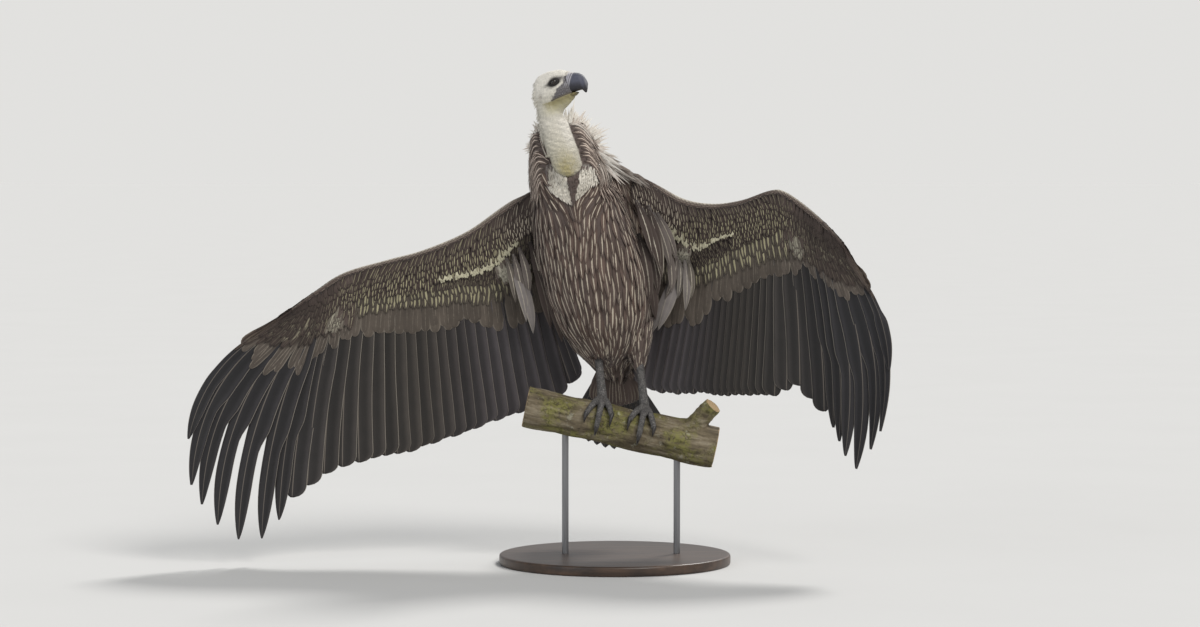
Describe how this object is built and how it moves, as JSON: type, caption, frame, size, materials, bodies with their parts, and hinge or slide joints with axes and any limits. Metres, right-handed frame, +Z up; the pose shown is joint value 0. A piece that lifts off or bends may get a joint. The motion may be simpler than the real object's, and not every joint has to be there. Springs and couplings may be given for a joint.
{
  "type": "griffon vulture",
  "caption": "Life-size still model of a griffon vulture with spread wings and turned head, gripping a cut branch on a round display stand",
  "frame": {"origin": "the middle of the underside of the round stand base, on the floor", "axes": "+Z up, the bird's chest faces -Y, +X towards the bird's left wing"},
  "size_m": [1.6674, 0.5867, 1.1912],
  "materials": {
    "plumage": "matte",
    "flight_feather": "satin",
    "down": "matte",
    "horn": "satin",
    "eye": "gloss",
    "leg_skin": "matte",
    "bark": "matte",
    "stand_board": "satin",
    "stand_metal": "satin"
  },
  "bodies": {
    "root": {"bill_lower": "horn", "bill_upper": "horn", "claw_left_hind": "horn", "claw_left_inner": "horn", "claw_left_middle": "horn", "claw_left_outer": "horn", "claw_right_hind": "horn", "claw_right_inner": "horn", "claw_right_middle": "horn", "claw_right_outer": "horn", "eye_left": "eye", "eye_right": "eye", "foot_left": "leg_skin", "foot_right": "leg_skin", "head": "down", "neck": "down", "perch": "bark", "ruff": "plumage", "stand_base": "stand_board", "stand_rod_left": "stand_metal", "stand_rod_right": "stand_metal", "tail": "flight_feather", "tarsus_left": "leg_skin", "tarsus_right": "leg_skin", "thigh_left": "plumage", "thigh_right": "plumage", "trunk": "plumage", "wing_left_forearm": "plumage", "wing_left_hand": "plumage", "wing_left_inner_primaries": "flight_feather", "wing_left_primary_10": "flight_feather", "wing_left_primary_4": "flight_feather", "wing_left_primary_5": "flight_feather", "wing_left_primary_6": "flight_feather", "wing_left_primary_7": "flight_feather", "wing_left_primary_8": "flight_feather", "wing_left_primary_9": "flight_feather", "wing_left_secondaries": "flight_feather", "wing_left_upper_arm": "plumage", "wing_right_forearm": "plumage", "wing_right_hand": "plumage", "wing_right_inner_primaries": "flight_feather", "wing_right_primary_10": "flight_feather", "wing_right_primary_4": "flight_feather", "wing_right_primary_5": "flight_feather", "wing_right_primary_6": "flight_feather", "wing_right_primary_7": "flight_feather", "wing_right_primary_8": "flight_feather", "wing_right_primary_9": "flight_feather", "wing_right_secondaries": "flight_feather", "wing_right_upper_arm": "plumage"}
  },
  "joints": []
}
